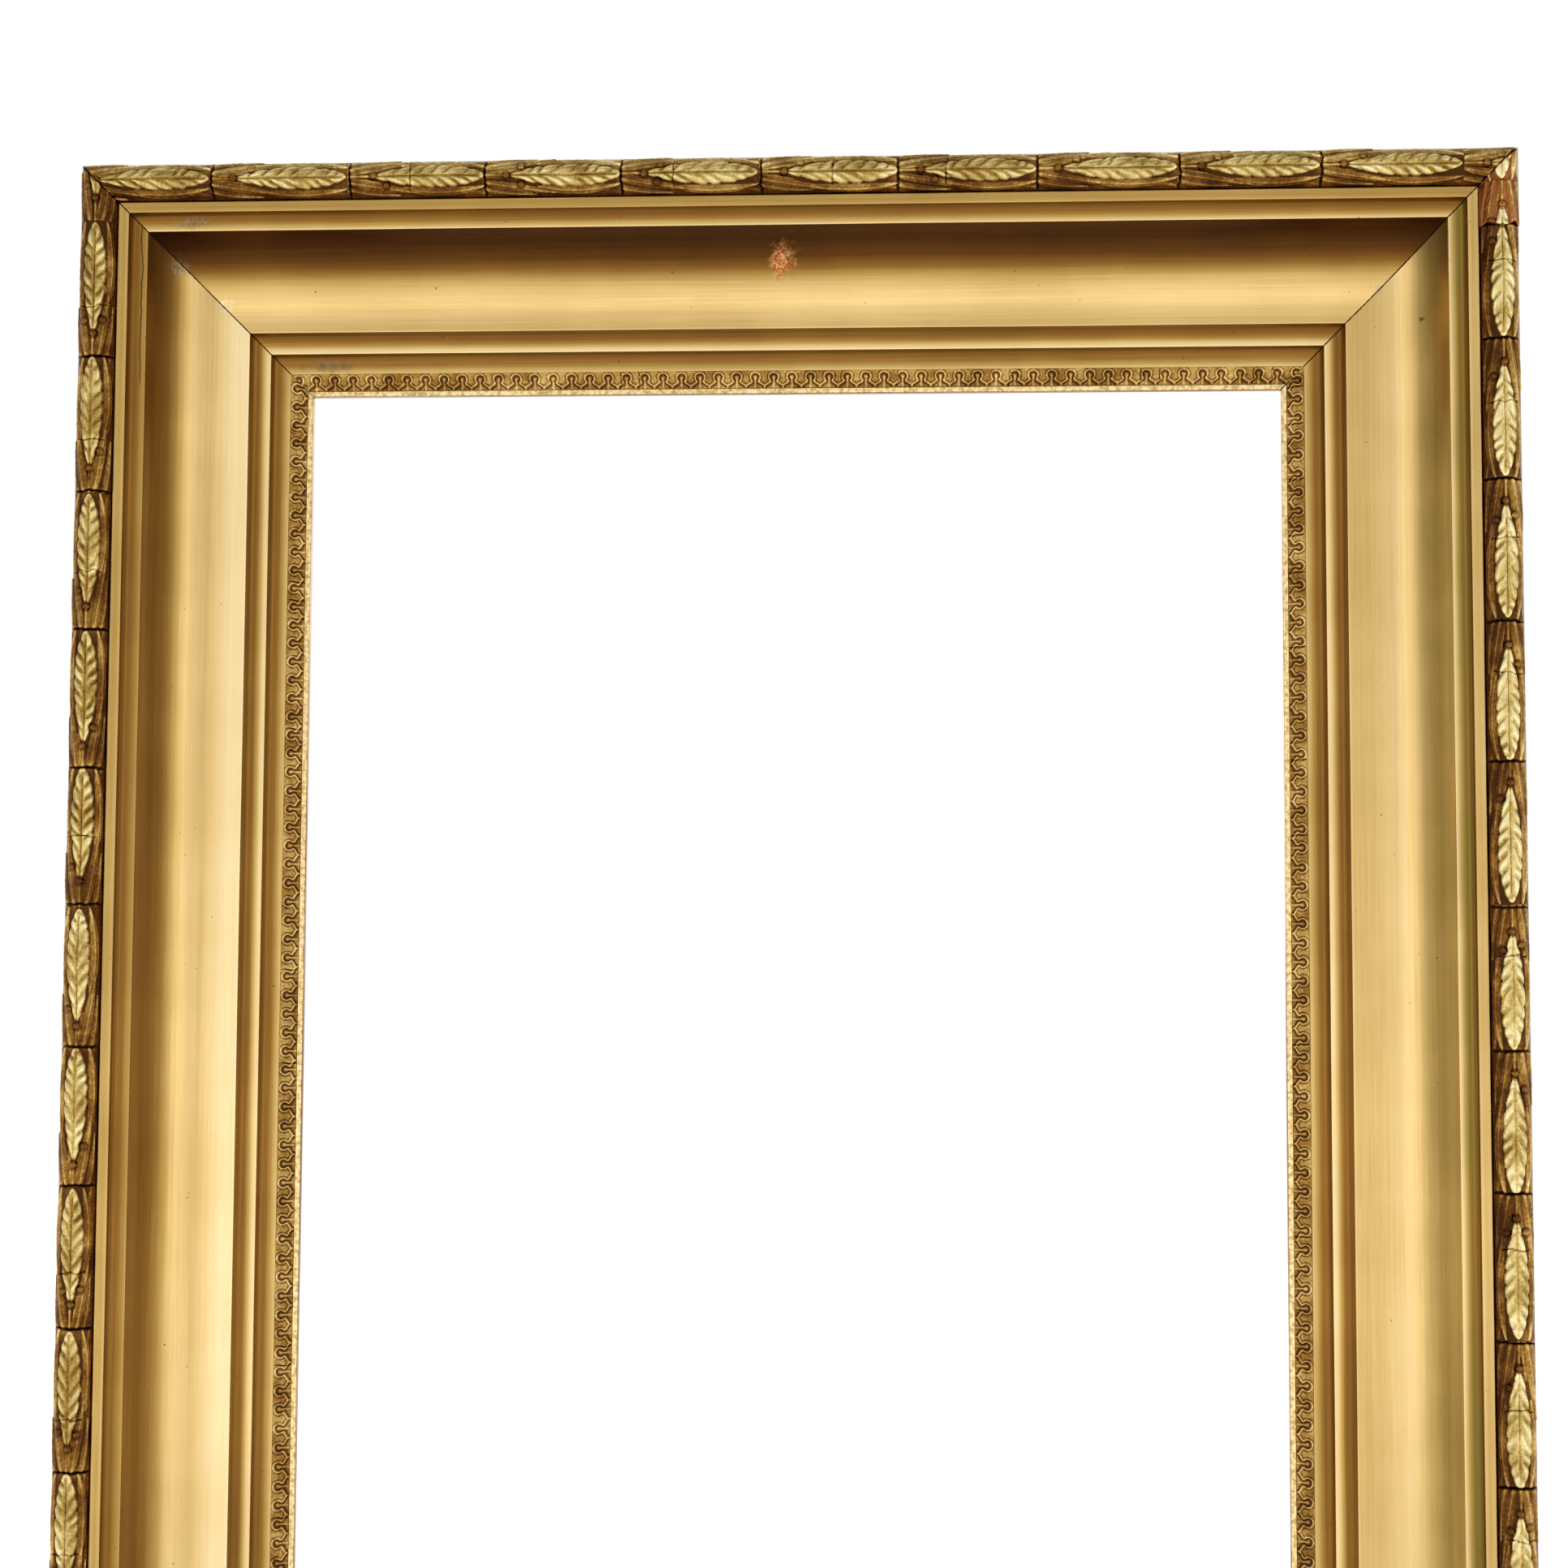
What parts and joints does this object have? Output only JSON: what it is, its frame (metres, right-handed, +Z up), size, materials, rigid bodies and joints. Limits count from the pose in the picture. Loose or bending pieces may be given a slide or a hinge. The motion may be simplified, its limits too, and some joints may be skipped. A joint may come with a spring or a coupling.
{
  "type": "gilded picture frame",
  "caption": "Rectangular gilded picture frame with a deep cove, a laurel-leaf outer edge and a lamb's-tongue sight edge, rebated at the back to hold a picture and hung from rings.",
  "frame": {"origin": "middle of the bottom edge, at the middle of the depth", "axes": "+Z up along the stiles, +X to the right seen from the front, +Y out of the back; the gilded front faces -Y"},
  "size_m": [0.718, 0.075, 0.972],
  "materials": {
    "pine": "matte",
    "oak": "matte",
    "gilt_moulding": "satin",
    "gilt_cove": "satin",
    "gilt_laurel": "satin",
    "gilt_repair": "satin",
    "gilt_ornament": "satin",
    "brass": "satin",
    "steel": "satin",
    "iron": "matte"
  },
  "bodies": {
    "frame": {"back_rail_top": "pine", "back_rail_bottom": "pine", "back_stile_left": "pine", "back_stile_right": "pine", "lap_pegs": "oak", "outer_rail_top": "gilt_moulding", "cove_rail_top": "gilt_cove", "sight_rail_top": "gilt_moulding", "sight_ornament_top": "gilt_ornament", "laurel_top": "gilt_laurel", "outer_rail_right": "gilt_moulding", "cove_rail_right": "gilt_cove", "sight_rail_right": "gilt_moulding", "sight_ornament_right": "gilt_ornament", "laurel_right": "gilt_laurel", "outer_rail_bottom": "gilt_moulding", "cove_rail_bottom": "gilt_cove", "sight_rail_bottom": "gilt_moulding", "sight_ornament_bottom": "gilt_ornament", "laurel_bottom": "gilt_laurel", "outer_rail_left": "gilt_moulding", "cove_rail_left": "gilt_cove", "sight_rail_left": "gilt_moulding", "sight_ornament_left": "gilt_ornament", "laurel_left": "gilt_laurel", "laurel_patch": "gilt_repair", "mitre_nails": "iron", "hanger_strap_left": "brass", "hanger_strap_right": "brass", "hanger_screws": "steel", "turn_button_screws": "steel"},
    "hanger_ring_left": {"hanger_ring_left": "brass"},
    "hanger_ring_right": {"hanger_ring_right": "brass"},
    "turn_button_left_lower": {"turn_button_left_lower": "brass"},
    "turn_button_left_middle": {"turn_button_left_middle": "brass"},
    "turn_button_left_upper": {"turn_button_left_upper": "brass"},
    "turn_button_right_lower": {"turn_button_right_lower": "brass"},
    "turn_button_right_middle": {"turn_button_right_middle": "brass"},
    "turn_button_right_upper": {"turn_button_right_upper": "brass"}
  },
  "joints": [
    {"name": "hanger_ring_left_swing", "type": "hinge", "parent": "frame", "child": "hanger_ring_left", "pos_m": [-0.282, 0.03494, 0.722], "axis": [0, 0, 1], "range_deg": [0, 172]},
    {"name": "hanger_ring_right_swing", "type": "hinge", "parent": "frame", "child": "hanger_ring_right", "pos_m": [0.282, 0.03494, 0.722], "axis": [0, 0, -1], "range_deg": [0, 172]},
    {"name": "turn_button_left_lower_turn", "type": "hinge", "parent": "frame", "child": "turn_button_left_lower", "pos_m": [-0.263, 0.03331, 0.2], "axis": [0, 1, 0], "continuous": true},
    {"name": "turn_button_left_middle_turn", "type": "hinge", "parent": "frame", "child": "turn_button_left_middle", "pos_m": [-0.263, 0.03331, 0.486], "axis": [0, 1, 0], "continuous": true},
    {"name": "turn_button_left_upper_turn", "type": "hinge", "parent": "frame", "child": "turn_button_left_upper", "pos_m": [-0.263, 0.03331, 0.772], "axis": [0, 1, 0], "continuous": true},
    {"name": "turn_button_right_lower_turn", "type": "hinge", "parent": "frame", "child": "turn_button_right_lower", "pos_m": [0.263, 0.03331, 0.2], "axis": [0, 1, 0], "continuous": true},
    {"name": "turn_button_right_middle_turn", "type": "hinge", "parent": "frame", "child": "turn_button_right_middle", "pos_m": [0.263, 0.03331, 0.486], "axis": [0, 1, 0], "continuous": true},
    {"name": "turn_button_right_upper_turn", "type": "hinge", "parent": "frame", "child": "turn_button_right_upper", "pos_m": [0.263, 0.03331, 0.772], "axis": [0, 1, 0], "continuous": true}
  ]
}
